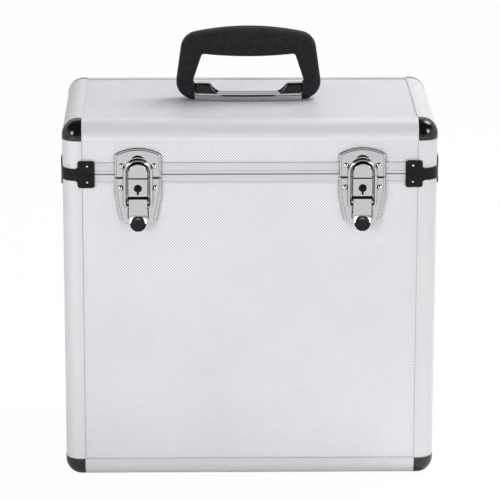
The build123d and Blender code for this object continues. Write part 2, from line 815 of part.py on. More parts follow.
for name, place in latches.items():
    with BuildPart() as lever:
        with BuildSketch(latch_side_plane(place + lever_width / 2)):
            with BuildLine():
                FilletPolyline(
                    (sheet_middle, -lever_top_drop),
                    (sheet_middle, -lever_bend_drop),
                    tab_end,
                    radius=lever_bend_radius,
                )
            trace(line_width=lever_sheet)
        extrude(amount=lever_width)
        with BuildSketch(latch_plane(place, 0)) as front_view:
            Rectangle(lever_width, lever_bend_drop + lever_sheet, align=(Align.CENTER, Align.MAX))
            with Locations((0, tab_end[1] + tab_width / 2)):
                Circle(tab_width / 2)
                Rectangle(tab_width, lever_bend_drop, align=(Align.CENTER, Align.MIN))
        extrude(amount=3 * boss_face_height, mode=Mode.INTERSECT)
        with Locations((place, -half_depth - dish_centre[0], seam + dish_centre[1])):
            Sphere(tab_dish_radius, mode=Mode.SUBTRACT)
        for outer_face in (place + lever_width / 2, place - lever_width / 2 + lever_sheet):
            with BuildSketch(latch_side_plane(outer_face)):
                with Locations((lever_pivot_reach, -lever_pivot_drop)):
                    Circle(barrel_radius)
                with Locations((loop_pivot_reach, loop_pin_drop)):
                    Circle(loop_lug_radius)
                with Locations((sheet_middle, -lever_top_wall), (sheet_middle, -lever_face_end)):
                    Circle(lever_sheet / 2)
                make_hull()
            extrude(amount=lever_sheet)
        with BuildSketch(latch_side_plane(place + lever_width / 2)):
            with Locations((lever_pivot_reach, -lever_pivot_drop)):
                Circle(barrel_radius)
        extrude(amount=lever_width)
        # A lock tooth on the barrel, which the bolt catches.
        with BuildSketch(latch_side_plane(place + tooth_width / 2)):
            with Locations((lever_pivot_reach, -lever_pivot_drop)):
                Rectangle(tooth_thickness, tooth_radius, align=(Align.CENTER, Align.MIN))
        extrude(amount=tooth_width)
        with BuildSketch(latch_side_plane(place + lever_width)) as bores:
            with Locations((lever_pivot_reach, -lever_pivot_drop)):
                Circle(lever_pin_radius + lever_pin_clearance)
            with Locations((loop_pivot_reach, loop_pin_drop)):
                Circle(loop_wire_radius + loop_pin_clearance)
        extrude(amount=2 * lever_width, mode=Mode.SUBTRACT)
    finish(lever, f"{name}_lever")

# The wire loop: it turns in the lever's walls and rests over the catch's boss.
boss_top = boss_arc_centre + boss_root_width / 2
arch_centre = boss_top + loop_seat_gap + loop_wire_radius - loop_half_width
loop_end = lever_width / 2 - lever_sheet - loop_end_inset
loop_foot = loop_half_width - loop_bend_radius
loop_leg_start = loop_pin_drop + loop_bend_radius

for name, place in latches.items():
    wire_plane = latch_plane(place, loop_pivot_reach)
    with BuildPart() as loop:
        with BuildLine(wire_plane) as wire:
            Line((loop_end, loop_pin_drop), (loop_foot, loop_pin_drop))
            RadiusArc(
                (loop_foot, loop_pin_drop), (loop_half_width, loop_leg_start), -loop_bend_radius
            )
            Line((loop_half_width, loop_leg_start), (loop_half_width, arch_centre))
            CenterArc((0, arch_centre), loop_half_width, 0, 180)
            Line((-loop_half_width, arch_centre), (-loop_half_width, loop_leg_start))
            RadiusArc(
                (-loop_half_width, loop_leg_start), (-loop_foot, loop_pin_drop), -loop_bend_radius
            )
            Line((-loop_foot, loop_pin_drop), (-loop_end, loop_pin_drop))
        start = wire_plane.from_local_coords(Vector(loop_end, loop_pin_drop, 0))
        with BuildSketch(Plane(origin=start, x_dir=(0, 1, 0), z_dir=(1, 0, 0))):
            Circle(loop_wire_radius)
        sweep(path=wire.wire())
    finish(loop, f"{name}_loop")

# The lock bolt: a plate on the latch plate's face, guided by the key post.
bolt_slot_width = 2 * (key_post_radius + bolt_slot_clearance)
for name, place in latches.items():
    with BuildPart() as lock_bolt:
        with BuildSketch(latch_plane(place, tray_height + bolt_seat_gap)):
            with Locations((0, -bolt_top_drop)):
                Rectangle(
                    bolt_width, bolt_tip_drop - bolt_top_drop, align=(Align.CENTER, Align.MAX)
                )
            with Locations((0, -keyhole_drop + bolt_travel / 2)):
                SlotOverall(
                    bolt_travel + bolt_slot_width, bolt_slot_width, rotation=90, mode=Mode.SUBTRACT
                )
            with Locations((bolt_width / 2, -keyhole_drop)):
                Rectangle(bolt_key_notch, bolt_key_notch, mode=Mode.SUBTRACT)
        extrude(amount=bolt_thickness)
    finish(lock_bolt, f"{name}_lock_bolt")


def latch_rivets(points, seat, length, name):
    with BuildPart() as heads:
        rivets(
            face_plane("front", seat),
            points,
            latch_rivet_head_radius,
            latch_rivet_head_height,
            latch_rivet_shank_radius,
            seat + length,
        )
    finish(heads, name)


latch_rivets(catch_rivet_points, tray_height, wall, "catch_plate_rivets")
latch_rivets(plate_rivet_points, tray_height, panel_back, "latch_plate_rivets")

# ---- Hinges ----------------------------------------------------------------------------------
hinges = {"left": -hinge_spacing / 2, "right": hinge_spacing / 2}
hinge_axis_reach = hinge_barrel_radius + hinge_wall_gap
barrel_run = hinge_width - 2 * (hinge_cheek_width + hinge_knuckle_gap)
knuckle_pitch = barrel_run / hinge_knuckle_count
stop_angle = radians((hinge_open_angle + hinge_stop_margin) / 2)
leaf_front = hinge_sheet - outer_lip


def hinge_plane(across):
    # A hinge seen from its side: x outward from the rails' face, y up from the seam, z is +X.
    return Plane(origin=(across, half_depth, seam), x_dir=(0, 1, 0), z_dir=(1, 0, 0))


def hinge_leaf(place, up, rail_height, knuckles, bore_clearance):
    # A joggled leaf with its knuckles, and a cheek at each end that stops the lid.
    joggle = rail_height + bracket_seam_gap
    with BuildPart() as leaf:
        with BuildSketch(hinge_plane(place - hinge_width / 2)):
            with BuildLine():
                Polyline(
                    (0, up * hinge_leaf_start),
                    (hinge_sheet, up * hinge_leaf_start),
                    (hinge_sheet, up * (joggle + outer_lip)),
                    (leaf_front, up * (joggle + 2 * outer_lip)),
                    (leaf_front, up * hinge_leaf_end),
                    (-outer_lip, up * hinge_leaf_end),
                    (-outer_lip, up * joggle),
                    (0, up * joggle),
                    close=True,
                )
            make_face()
        extrude(amount=hinge_width)
        ends = leaf.edges().filter_by(Axis.Y).group_by(Axis.Z)[-1 if up > 0 else 0]
        fillet(ends, hinge_corner_radius)
        for knuckle in knuckles:
            start = place - barrel_run / 2 + knuckle * knuckle_pitch + hinge_knuckle_gap / 2
            with BuildSketch(hinge_plane(start)):
                with Locations((hinge_axis_reach, 0)):
                    Circle(hinge_barrel_radius)
                with Locations((hinge_sheet / 2, up * (hinge_leaf_start + hinge_sheet / 2))):
                    Rectangle(hinge_sheet, hinge_sheet)
                make_hull()
            extrude(amount=knuckle_pitch - hinge_knuckle_gap)
        for start in (place - hinge_width / 2, place + hinge_width / 2 - hinge_cheek_width):
            with BuildSketch(hinge_plane(start)):
                with Locations((hinge_axis_reach, 0)):
                    Circle(hinge_cheek_radius)
                    Circle(hinge_cheek_inner_radius, mode=Mode.SUBTRACT)
                with BuildLine():
                    Polyline(
                        (hinge_axis_reach, 0),
                        (
                            hinge_axis_reach + hinge_leaf_end * cos(stop_angle),
                            up * hinge_leaf_end * sin(stop_angle),
                        ),
                        (0, up * hinge_leaf_end),
                        (0, up * hinge_leaf_start),
                        close=True,
                    )
                make_face(mode=Mode.INTERSECT)
            extrude(amount=hinge_cheek_width)
        with BuildSketch(hinge_plane(place - hinge_width)):
            with Locations((hinge_axis_reach, 0)):
                Circle(hinge_pin_radius + bore_clearance)
        extrude(amount=2 * hinge_width, mode=Mode.SUBTRACT)
        with BuildSketch(face_plane("back", hinge_sheet)) as holes:
            with Locations(*hinge_points(seam + up * hinge_rivet_rise)):
                Circle(latch_rivet_shank_radius + rivet_hole_clearance)
        extrude(amount=-2 * hinge_sheet, mode=Mode.SUBTRACT)
    return leaf


for name, place in hinges.items():
    base_knuckles = range(0, hinge_knuckle_count, 2)
    lid_knuckles = range(1, hinge_knuckle_count, 2)
    base_leaf = hinge_leaf(place, -1, base_rail_height, base_knuckles, pin_fit)
    lid_leaf = hinge_leaf(place, 1, lid_rail_height, lid_knuckles, hinge_pin_clearance)
    finish(base_leaf, f"{name}_hinge_base_leaf")
    finish(lid_leaf, f"{name}_hinge_lid_leaf")
    with BuildPart() as hinge_pin:
        with BuildSketch(hinge_plane(place - barrel_run / 2)):
            with Locations((hinge_axis_reach, 0)):
                Circle(hinge_pin_radius)
        extrude(amount=barrel_run)
    finish(hinge_pin, f"{name}_hinge_pin")


def hinge_rivets(points, name):
    with BuildPart() as heads:
        rivets(
            face_plane("back", leaf_front),
            points,
            latch_rivet_head_radius,
            latch_rivet_head_height,
            latch_rivet_shank_radius,
            leaf_front + panel_back,
        )
    finish(heads, name)


hinge_rivets(hinge_lid_rivet_points, "hinge_lid_rivets")
hinge_rivets(hinge_base_rivet_points, "hinge_base_rivets")

# ---- Handle ----------------------------------------------------------------------------------
top_face = case_height - outer_lip
pivot_height = top_face + pivot_rise
knuckle_inner = bracket_length / 2 - knuckle_top_length
knuckle_bore = knuckle_radius - bracket_sheet_steel
ledge_height = top_face + bracket_rise
ledge_low = ledge_height - bracket_sheet_steel

hood_low = ledge_low + hood_lap - pivot_height
hood_end = bracket_length / 2 - knuckle_end_inset
hood_start = knuckle_inner - knuckle_swoop_radius


def hood_section(station):
    # The hood's sheet, cut across: up from the channel's front, over the stub and down its back.
    reach = bracket_front_end + bracket_front_bow * (1 - (2 * station / bracket_length) ** 2)
    inside = reach - bracket_sheet_steel
    with BuildSketch(Plane(origin=(station, 0, pivot_height), x_dir=(0, 1, 0), z_dir=(1, 0, 0))) as cut:
        with BuildLine():
            EllipticalCenterArc((0, hood_low), reach, knuckle_radius - hood_low, 90, arc_size=90)
            CenterArc((0, 0), knuckle_radius, 0, 90)
            Polyline(
                (knuckle_radius, 0),
                (knuckle_radius, hood_low),
                (knuckle_bore, hood_low),
                (knuckle_bore, 0),
            )
            CenterArc((0, 0), knuckle_bore, 0, 90)
            EllipticalCenterArc((0, hood_low), inside, knuckle_bore - hood_low, 90, arc_size=90)
            Line((-inside, hood_low), (-reach, hood_low))
        make_face()
    return cut.sketch


# The bracket: a pressed channel whose sheet rises at both ends as a hood over the handle's stubs.
with BuildPart() as hoods:
    for side in (-1, 1):
        loft(sections=[hood_section(side * hood_end), hood_section(side * hood_start)], ruled=True)
    with BuildSketch(Plane.XZ.offset(-bracket_length)) as swoop:
        with Locations((0, ledge_low)):
            Rectangle(2 * knuckle_inner, 3 * knuckle_swoop_radius, align=(Align.CENTER, Align.MIN))
        fillet(swoop.vertices().group_by(Axis.Y)[0], knuckle_swoop_radius)
    extrude(amount=2 * bracket_length, mode=Mode.SUBTRACT)

with BuildPart() as handle_bracket:
    with BuildSketch(Plane.XY.offset(top_face)) as channel:
        with BuildLine():
            ThreePointArc(
                (-bracket_length / 2, -bracket_front_end),
                (0, -bracket_front_end - bracket_front_bow),
                (bracket_length / 2, -bracket_front_end),
            )
            Polyline(
                (bracket_length / 2, -bracket_front_end),
                (bracket_length / 2, bracket_back),
                (-bracket_length / 2, bracket_back),
                (-bracket_length / 2, -bracket_front_end),
            )
        make_face()
    extrude(amount=bracket_rise)
    fillet(handle_bracket.faces().sort_by(Axis.Z).last.edges(), bracket_bend_radius)
    with BuildSketch(Plane.XY.offset(top_face)):
        offset(channel.sketch, amount=-bracket_sheet_steel)
    extrude(amount=bracket_rise - bracket_sheet_steel, mode=Mode.SUBTRACT)
    add(hoods.part)
finish(handle_bracket, "handle_bracket")

backing_low = top_panel_low - backing_sheet
with BuildPart() as handle_backing_plate:
    with BuildSketch(Plane.XY.offset(top_panel_low)):
        RectangleRounded(backing_length, backing_width, backing_corner_radius)
        with Locations(*((station, 0) for station in handle_rivet_stations)):
            Circle(handle_rivet_radius + rivet_hole_clearance, mode=Mode.SUBTRACT)
    extrude(amount=-backing_sheet)
finish(handle_backing_plate, "handle_backing_plate")

# Their heads are inside the lid, and their shanks end under the bracket's ledge.
with BuildPart() as handle_bracket_rivets:
    rivets(
        Plane(origin=(0, 0, backing_low), x_dir=(1, 0, 0), z_dir=(0, 0, -1)),
        [(station, 0) for station in handle_rivet_stations],
        handle_rivet_head_radius,
        handle_rivet_head_height,
        handle_rivet_radius,
        ledge_low - backing_low,
    )
finish(handle_bracket_rivets, "handle_bracket_rivets")

handle_half = handle_thickness / 2
handle_foot_reach = pivot_rise - handle_foot_gap
sole_low = handle_heel_z - handle_heel_x * tan(radians(handle_sole_slope))
pivot = Vector(0, 0, pivot_height)
front_view = Plane(origin=pivot + (0, handle_half, 0), x_dir=(1, 0, 0), z_dir=(0, -1, 0))
end_view = Plane(origin=pivot - (handle_heel_x, 0, 0), x_dir=(0, 1, 0), z_dir=(1, 0, 0))

# The outside of the grip, its legs and their sloping soles, with a rounded rim.
with BuildPart() as handle_outside:
    with BuildSketch(front_view) as silhouette:
        with BuildLine():
            ThreePointArc(
                (-handle_shoulder_x, handle_shoulder_z),
                (0, handle_top),
                (handle_shoulder_x, handle_shoulder_z),
            )
            Polyline(
                (handle_shoulder_x, handle_shoulder_z),
                (handle_heel_x, handle_heel_z),
                (0, sole_low),
                (-handle_heel_x, handle_heel_z),
                (-handle_shoulder_x, handle_shoulder_z),
            )
        make_face()
        corners = silhouette.vertices().group_by(Axis.Y)
        fillet(corners[-1], handle_shoulder_radius)
        fillet(silhouette.vertices().sort_by(Axis.X)[0], handle_heel_radius)
        fillet(silhouette.vertices().sort_by(Axis.X)[-1], handle_heel_radius)
        fillet(silhouette.vertices().sort_by(Axis.Y)[0], handle_heel_radius)
    extrude(amount=handle_thickness)
    fillet(handle_outside.faces().filter_by(Axis.Y).edges(), handle_edge_radius)

with BuildPart() as handle:
    with BuildSketch(front_view) as frame:
        Rectangle(3 * handle_heel_x, 3 * handle_top)
        with BuildLine():
            ThreePointArc(
                (handle_opening_x, handle_opening_z),
                (0, handle_grip_low),
                (-handle_opening_x, handle_opening_z),
            )
            Polyline(
                (-handle_opening_x, handle_opening_z),
                (-handle_leg_inner_x, handle_leg_inner_z),
                (-handle_leg_inner_x, -2 * handle_top),
                (handle_leg_inner_x, -2 * handle_top),
                (handle_leg_inner_x, handle_leg_inner_z),
                (handle_opening_x, handle_opening_z),
            )
        make_face(mode=Mode.SUBTRACT)
        for across in (-1, 1):
            bend = Vector(across * handle_leg_inner_x, handle_leg_inner_z)
            fillet(frame.vertices().sort_by_distance(bend)[0], handle_leg_bend_radius)
            corner = Vector(across * handle_opening_x, handle_opening_z)
            fillet(frame.vertices().sort_by_distance(corner)[0], handle_opening_radius)
    extrude(amount=handle_thickness)
    opening = handle.faces().filter_by(Axis.Y).edges().filter_by(
        lambda edge: abs(edge.center().X) < handle_leg_inner_x + 1
        and edge.center().Z < pivot_height + handle_top
    )
    fillet(opening, handle_edge_radius)
    # A flat boss inside each foot, beside the bracket's end.
    boss_start = bracket_length / 2 + handle_boss_gap
    boss_end = handle_leg_inner_x + handle_edge_radius
    with BuildSketch(front_view) as bosses:
        with Locations((0, handle_boss_rise)):
            Rectangle(2 * boss_end, 2 * handle_foot_reach, align=(Align.CENTER, Align.MAX))
            Rectangle(
                2 * boss_start,
                2 * handle_foot_reach,
                align=(Align.CENTER, Align.MAX),
                mode=Mode.SUBTRACT,
            )
        for across in (-1, 1):
            shoulder = Vector(across * boss_start, handle_boss_rise)
            fillet(bosses.vertices().sort_by_distance(shoulder)[0], handle_boss_shoulder)
    extrude(amount=handle_thickness)
    add(handle_outside.part, mode=Mode.INTERSECT)
    # The feet are rounded about the pivot, so that they turn clear of the lid.
    with BuildSketch(end_view):
        Circle(handle_foot_reach)
        Rectangle(2 * handle_foot_reach, 2 * handle_top, align=(Align.CENTER, Align.MIN))
    extrude(amount=2 * handle_heel_x, mode=Mode.INTERSECT)
    for inward in (-1, 1):
        stub_face = pivot + (inward * (knuckle_inner + stub_end_inset), 0, 0)
        with BuildSketch(Plane(origin=stub_face, x_dir=(0, 1, 0), z_dir=(1, 0, 0))):
            Circle(knuckle_bore - stub_clearance)
        extrude(amount=inward * (boss_end - knuckle_inner - stub_end_inset))
finish(handle, "handle")
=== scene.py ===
import math

import bmesh
import bpy
from mathutils import Matrix, Vector, noise as spaceNoise


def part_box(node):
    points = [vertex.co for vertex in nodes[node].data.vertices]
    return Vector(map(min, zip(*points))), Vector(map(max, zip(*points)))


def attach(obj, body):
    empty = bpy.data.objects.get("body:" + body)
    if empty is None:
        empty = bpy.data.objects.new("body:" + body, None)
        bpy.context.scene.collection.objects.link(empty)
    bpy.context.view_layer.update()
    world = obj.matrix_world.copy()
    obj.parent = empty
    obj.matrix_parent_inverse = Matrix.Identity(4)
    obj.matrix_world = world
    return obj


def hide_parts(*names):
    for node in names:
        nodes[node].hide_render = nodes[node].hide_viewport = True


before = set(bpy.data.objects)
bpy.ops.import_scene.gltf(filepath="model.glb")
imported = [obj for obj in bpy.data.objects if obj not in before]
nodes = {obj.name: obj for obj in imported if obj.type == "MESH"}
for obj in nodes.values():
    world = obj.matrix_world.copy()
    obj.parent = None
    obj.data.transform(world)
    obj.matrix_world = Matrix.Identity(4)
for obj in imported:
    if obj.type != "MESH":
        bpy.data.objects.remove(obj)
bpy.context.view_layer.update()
print("frame loaded,", len(nodes), "nodes")

mm = 0.001

# where things are, read from the frame
baseRailLow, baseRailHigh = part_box("base_front_rim_rail")
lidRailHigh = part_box("lid_front_rim_rail")[1]
sideRailLow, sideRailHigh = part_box("base_left_rim_rail")
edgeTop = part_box("base_corner_caps")[1].z
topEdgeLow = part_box("lid_corner_caps")[0].z
seamHeight = (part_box("base_seam_brackets")[1].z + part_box("lid_seam_brackets")[0].z) / 2
railFace = baseRailLow.y
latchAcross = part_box("right_lever")[0].lerp(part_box("right_lever")[1], 0.5).x

# edges of the visible laminate, between the extrusions' lips
acrossEdges = (baseRailLow.x, baseRailHigh.x)
depthEdges = (sideRailLow.y, sideRailHigh.y)
heightEdges = (edgeTop, baseRailLow.z, lidRailHigh.z, topEdgeLow)

# where most of a noise texture's values lie
noiseRange = (0.3, 0.7)
xAxis, yAxis, zAxis = 0, 1, 2


# shader helpers

def newMaterial(name):
    material = bpy.data.materials.new(name)
    material.use_nodes = True
    tree = material.node_tree
    shader = tree.nodes["Principled BSDF"]
    return material, tree, shader


def addNode(tree, kind, settings=None, inputs=None):
    # settings are the node's own properties; inputs are values or links
    node = tree.nodes.new(kind)
    for key, value in (settings or {}).items():
        setattr(node, key, value)
    for key, value in (inputs or {}).items():
        if isinstance(value, bpy.types.NodeSocket):
            tree.links.new(value, node.inputs[key])
        else:
            node.inputs[key].default_value = value
    return node


def math2(tree, operation, first, second=0.0):
    node = addNode(tree, "ShaderNodeMath", {"operation": operation}, {0: first, 1: second})
    return node.outputs[0]


def square(tree, value):
    return math2(tree, "MULTIPLY", value, value)


def hypotenuse(tree, first, second):
    return math2(tree, "SQRT", math2(tree, "ADD", square(tree, first), square(tree, second)))


def difference(tree, first, second):
    return math2(tree, "ABSOLUTE", math2(tree, "SUBTRACT", first, second))


def offCentre(tree, value, middle, size):
    # distance from the middle, as a share of the size
    return math2(tree, "DIVIDE", math2(tree, "SUBTRACT", value, middle), size)


def product(tree, first, *others):
    for other in others:
        first = math2(tree, "MULTIPLY", first, other)
    return first


def objectPoint(tree, scale=(1, 1, 1)):
    coordinates = addNode(tree, "ShaderNodeTexCoord")
    mapping = addNode(
        tree, "ShaderNodeMapping", None,
        {"Vector": coordinates.outputs["Object"], "Scale": scale},
    )
    return mapping.outputs[0]


def splitAxes(tree, point):
    return tuple(addNode(tree, "ShaderNodeSeparateXYZ", None, {0: point}).outputs)


def noise(tree, point, scale, detail, rough=0.55):
    node = addNode(
        tree, "ShaderNodeTexNoise", None,
        {"Vector": point, "Scale": scale, "Detail": detail, "Roughness": rough},
    )
    return node.outputs[0]


def spread(tree, value, low, high, fromLow=0.0, fromHigh=1.0):
    node = addNode(
        tree, "ShaderNodeMapRange", None,
        {"Value": value, "From Min": fromLow, "From Max": fromHigh, "To Min": low, "To Max": high},
    )
    return node.outputs[0]


def scaled(color, factor):
    return tuple(factor * value for value in color)


def blendColors(tree, factor, first, second, blend="MIX"):
    settings = {"data_type": "RGBA", "blend_type": blend}
    node = addNode(tree, "ShaderNodeMix", settings, {"Factor": factor})
    for socket, value in ((node.inputs[6], first), (node.inputs[7], second)):
        if isinstance(value, bpy.types.NodeSocket):
            tree.links.new(value, socket)
        else:
            socket.default_value = (*value, 1)
    return node.outputs[2]


def mixShaders(tree, factor, first, second):
    node = addNode(tree, "ShaderNodeMixShader", None, {0: factor, 1: first, 2: second})
    return node.outputs[0]


def paint(tree, shader, color, rough):
    tree.links.new(color, shader.inputs["Base Color"])
    tree.links.new(rough, shader.inputs["Roughness"])


def bump(tree, shader, height, distance):
    node = addNode(tree, "ShaderNodeBump", None, {"Height": height, "Distance": distance})
    tree.links.new(node.outputs[0], shader.inputs["Normal"])


# embossed silver laminate on the panels: staggered raised dots, with painted shade in their
# valleys, and a stronger slant one way that paints light falling on them from one side
laminate = {
    "pitch": 2.75 * mm,
    # the slant's stronger share paints light falling on the dots from one side
    "slant": 0.60,          # share of the wave that runs up to the right
    "sharpness": 1.3,
    "dotColor": (0.97, 0.965, 1.0),
    # the valleys' colour is painted shade; the dots keep the laminate's own colour
    "valleyShadeColor": (0.50, 0.49, 0.535),
    "topColumns": 0.25,
    # the painted shadow line under the extrusions' lips
    "lipShadowColor": (0.12, 0.12, 0.14),
    "lipShadowShares": (0.75, 0.25),      # painted shadow's darkness in valleys and on dots
    "lipShadowStart": 0.1 * mm,
    "wallLipShadows": (0.75 * mm, 0.75 * mm),     # painted shadow's reach, across and up
    "topLipShadows": (0.5 * mm, 2.4 * mm),
    "cloudNoise": (9, 3),           # here and below, a noise's scale and detail
    "clouds": (0.97, 1.03),         # the tone of large faint patches
    "smearNoise": (60, 2),
    "metallic": 0.2,
    "roughness": (0.40, 0.51),
    "emboss": 0.14 * mm,
}


def makeLaminate(name, across, up, acrossEdges, upEdges, lipShadowReaches, columns=0.0):
    # across and up are the panel's own directions, as 0, 1 or 2 for X, Y or Z. Columns is how much
    # the dots' columns stand out from one another.
    material, tree, shader = newMaterial(name)
    point = objectPoint(tree)
    axes = splitAxes(tree, point)
    turns = 2 * math.pi / laminate["pitch"]
    angles = [math2(tree, "MULTIPLY", axes[axis], turns) for axis in (across, up)]
    rising = math2(tree, "COSINE", math2(tree, "SUBTRACT", *angles))
    falling = math2(tree, "COSINE", math2(tree, "ADD", *angles))
    dots = math2(
        tree, "ADD",
        math2(tree, "MULTIPLY", rising, laminate["slant"]),
        math2(tree, "MULTIPLY", falling, 1 - laminate["slant"]),
    )
    raised = math2(tree, "POWER", spread(tree, dots, 0, 1, -1, 1), laminate["sharpness"])
    column = spread(tree, math2(tree, "COSINE", angles[0]), 1 - columns, 1, -1, 1)
    shown = math2(tree, "MULTIPLY", raised, column)
    # painted shade in the valleys
    color = blendColors(tree, shown, laminate["valleyShadeColor"], laminate["dotColor"])
    # painted shadow: a dark line where the laminate runs under an extrusion's lip
    lip = 0.0
    for axis, edges, reach in ((across, acrossEdges, lipShadowReaches[0]), (up, upEdges, lipShadowReaches[1])):
        for edge in edges:
            offEdge = difference(tree, axes[axis], edge)
            near = spread(tree, offEdge, 1, 0, laminate["lipShadowStart"], reach)
            lip = math2(tree, "MAXIMUM", near, lip)
    lipShadow = math2(tree, "MULTIPLY", lip, spread(tree, raised, *laminate["lipShadowShares"]))
    color = blendColors(tree, lipShadow, color, laminate["lipShadowColor"])
    cloud = noise(tree, point, *laminate["cloudNoise"])
    cloudTone = spread(tree, cloud, *laminate["clouds"], *noiseRange)
    color = blendColors(tree, 1.0, color, cloudTone, "MULTIPLY")
    smear = noise(tree, point, *laminate["smearNoise"])
    paint(tree, shader, color, spread(tree, smear, *laminate["roughness"]))
    shader.inputs["Metallic"].default_value = laminate["metallic"]
    bump(tree, shader, raised, laminate["emboss"])
    return material


# satin anodised extrusions, with fine draw lines along their length and a painted seam shadow;
# each part's copy is made lighter or darker, painting light and shade
anodised = {
    "color": (0.718, 0.707, 0.731),
    "lineTone": 0.955,
    "lineScales": (900, 6),         # of the draw lines' noise, across the extrusion and along it
    "lineNoise": (1, 2, 0.5),
    "lineDepth": 0.006 * mm,
    "patchNoise": (14, 3),
    "metallic": 0.34,
    "roughness": (0.38, 0.47),
    "shine": 0.25,
    # painted shadow: a dark line along the extrusions just below the seam between lid and base
    "seamShadowColor": (0.09, 0.09, 0.095),
    "seamShadow": 0.8,
    "seamShadowLine": (0.26 * mm, 0.65 * mm),     # half widths where the dark line is full and ends
    "seamShadowDrop": 0.45 * mm,          # the line's middle, below the lid's seam
}
anodisedFinishes = {
    # name: the axis its draw lines run along, and its tone, which paints light and shade by part
    "anodisedX": (xAxis, 0.92),
    "anodisedY": (yAxis, 0.95),
    "anodisedEdge": (xAxis, 1.06),
    "anodisedFoot": (xAxis, 0.96),
    "anodisedZ": (zAxis, 1.0),
}


def makeAnodised(name, along, lightingTone):
    material, tree, shader = newMaterial(name)
    point = objectPoint(tree)
    fine, drawn = anodised["lineScales"]
    stretch = [drawn if axis == along else fine for axis in range(3)]
    lines = noise(tree, objectPoint(tree, stretch), *anodised["lineNoise"])
    # lighter or darker copy of the finish: painted light and shade
    light = scaled(anodised["color"], lightingTone)
    color = blendColors(tree, lines, scaled(light, anodised["lineTone"]), light)
    # painted seam shadow
    offSeam = difference(tree, splitAxes(tree, point)[2], seamHeight - anodised["seamShadowDrop"])
    seamShadow = spread(tree, offSeam, anodised["seamShadow"], 0, *anodised["seamShadowLine"])
    color = blendColors(tree, seamShadow, color, anodised["seamShadowColor"])
    patches = noise(tree, point, *anodised["patchNoise"])
    paint(tree, shader, color, spread(tree, patches, *anodised["roughness"]))
    shader.inputs["Metallic"].default_value = anodised["metallic"]
    shader.inputs["Specular IOR Level"].default_value = anodised["shine"]
    bump(tree, shader, lines, anodised["lineDepth"])
    return material


# nickel-chrome plate on the latches, hinges and bracket, with painted shade in the crevices
chrome = {
    "color": (0.615, 0.615, 0.622),
    "wornTone": 0.93,
    "roughness": 0.06,
    "smudgeNoise": (75, 4),
    "smudging": (-0.02, 0.05),      # how far smudges take the roughness down and up
    "waveNoise": (260, 2),
    "waviness": 0.012 * mm,
    "occlusion": 2.2 * mm,            # how far the painted shade in a crevice reaches
    "unoccluded": (0.30, 0.85),       # where a crevice's painted shade is full, and where it ends
    "creviceShade": (0.05, 0.052, 0.055),
    "shadeColor": (0.010, 0.010, 0.010),     # painted shade in hollows, gaps and pressed lines
    "shadeRoughness": 0.6,
    "shadeShine": 0.06,
}

plated = (chrome["color"], chrome["roughness"], chrome["waviness"])
metalFinishes = {
    # name: color, roughness, waviness, and the hollow painted dark as shade
    "chrome": (*plated, None),
    "latchChrome": (*plated, "housing"),
    "leverChrome": (*plated, "lever"),
    "nickel": ((0.80, 0.72, 0.62), 0.10, 0.02 * mm, None),
    "brightPin": ((0.92, 0.92, 0.92), 0.2, 0.01 * mm, None),
    "zinc": ((0.62, 0.63, 0.65), 0.3, 0.04 * mm, None),
    "blackSteel": ((0.035, 0.036, 0.036), 0.35, 0.03 * mm, None),
}

# painted shade inside the pressings: half width, how far out it reaches from the rails' face, and
# its lower and upper ends above the seam
shadedHollows = {
    "housing": (8.6 * mm, 7.7 * mm, -19.6 * mm, 0.5 * mm),
    "lever": (7.4 * mm, 7.7 * mm, -40.0 * mm, -19.6 * mm),
}
# the keyholes, painted dark inside as shade: drop of the middle below the seam, and radius
keyhole = {"drop": 11.8 * mm, "radius": 3.6 * mm}
# the catch plate's arched top edge, where the wall turns back to the lid: painted shadow along it
catchArch = {
    "top": 25.0 * mm,
    "radius": 42.97 * mm,
    "edge": 0.6 * mm,
    "fade": 0.18 * mm,
    "edgeShadow": 0.9,
    "above": 14 * mm,       # no dark edge below this height
}
# the thumb tab is dished: it rolls out of the lever's face and is crowned across
thumbTab = {
    "bend": -38.2 * mm,     # where it leaves the lever's face, above the seam
    "roll": 3.0 * mm,
    "rollSlope": 0.20,
    "crown": 0.16,          # slope at its sides
    "halfWidth": 7.7 * mm,
    "bowlDrop": 6.6 * mm,   # the round bowl's middle below the bend, and its radius
    "bowl": 6.7 * mm,
    "corner": 0.34,         # slope of the two upper corners outside the bowl
    "haze": 0.14,           # roughness added at the bend, and how far down it reaches
    "hazeReach": 9 * mm,
}
# painted shade on the latches' front plates
plateShading = {
    "border": 19.8 * mm,    # the pressed line's distance from the latch's middle
    "lowBorder": 17.3 * mm,
    "borderTurn": (-30 * mm, -15 * mm),     # between these heights it runs from one to the other
    "borderTaper": 3.0 * mm,                # how much nearer it comes by its lower end
    "borderEnds": (-44 * mm, 17 * mm),
    "borderShadow": 0.42,
    "borderLine": (0.15 * mm, 0.5 * mm),    # half width at full darkness, and where it ends
    "gaps": [
        # distance from the latch's middle, height above the seam, half width, half height, and
        # squareness
        (17.3 * mm, -3.0 * mm, 3.6 * mm, 1.1 * mm, 2),
        (9.4 * mm, -38.2 * mm, 0.5 * mm, 4.8 * mm, 4),
    ],
    "gapEdge": (0.7, 1.2),      # where a gap starts to fade, and where it ends
}


def latchAxes(tree, point):
    # distance sideways from a latch's own middle, depth, and height above the seam
    across, depth, height = splitAxes(tree, point)
    aside = math2(tree, "SUBTRACT", math2(tree, "ABSOLUTE", across), latchAcross)
    return aside, depth, math2(tree, "SUBTRACT", height, seamHeight)


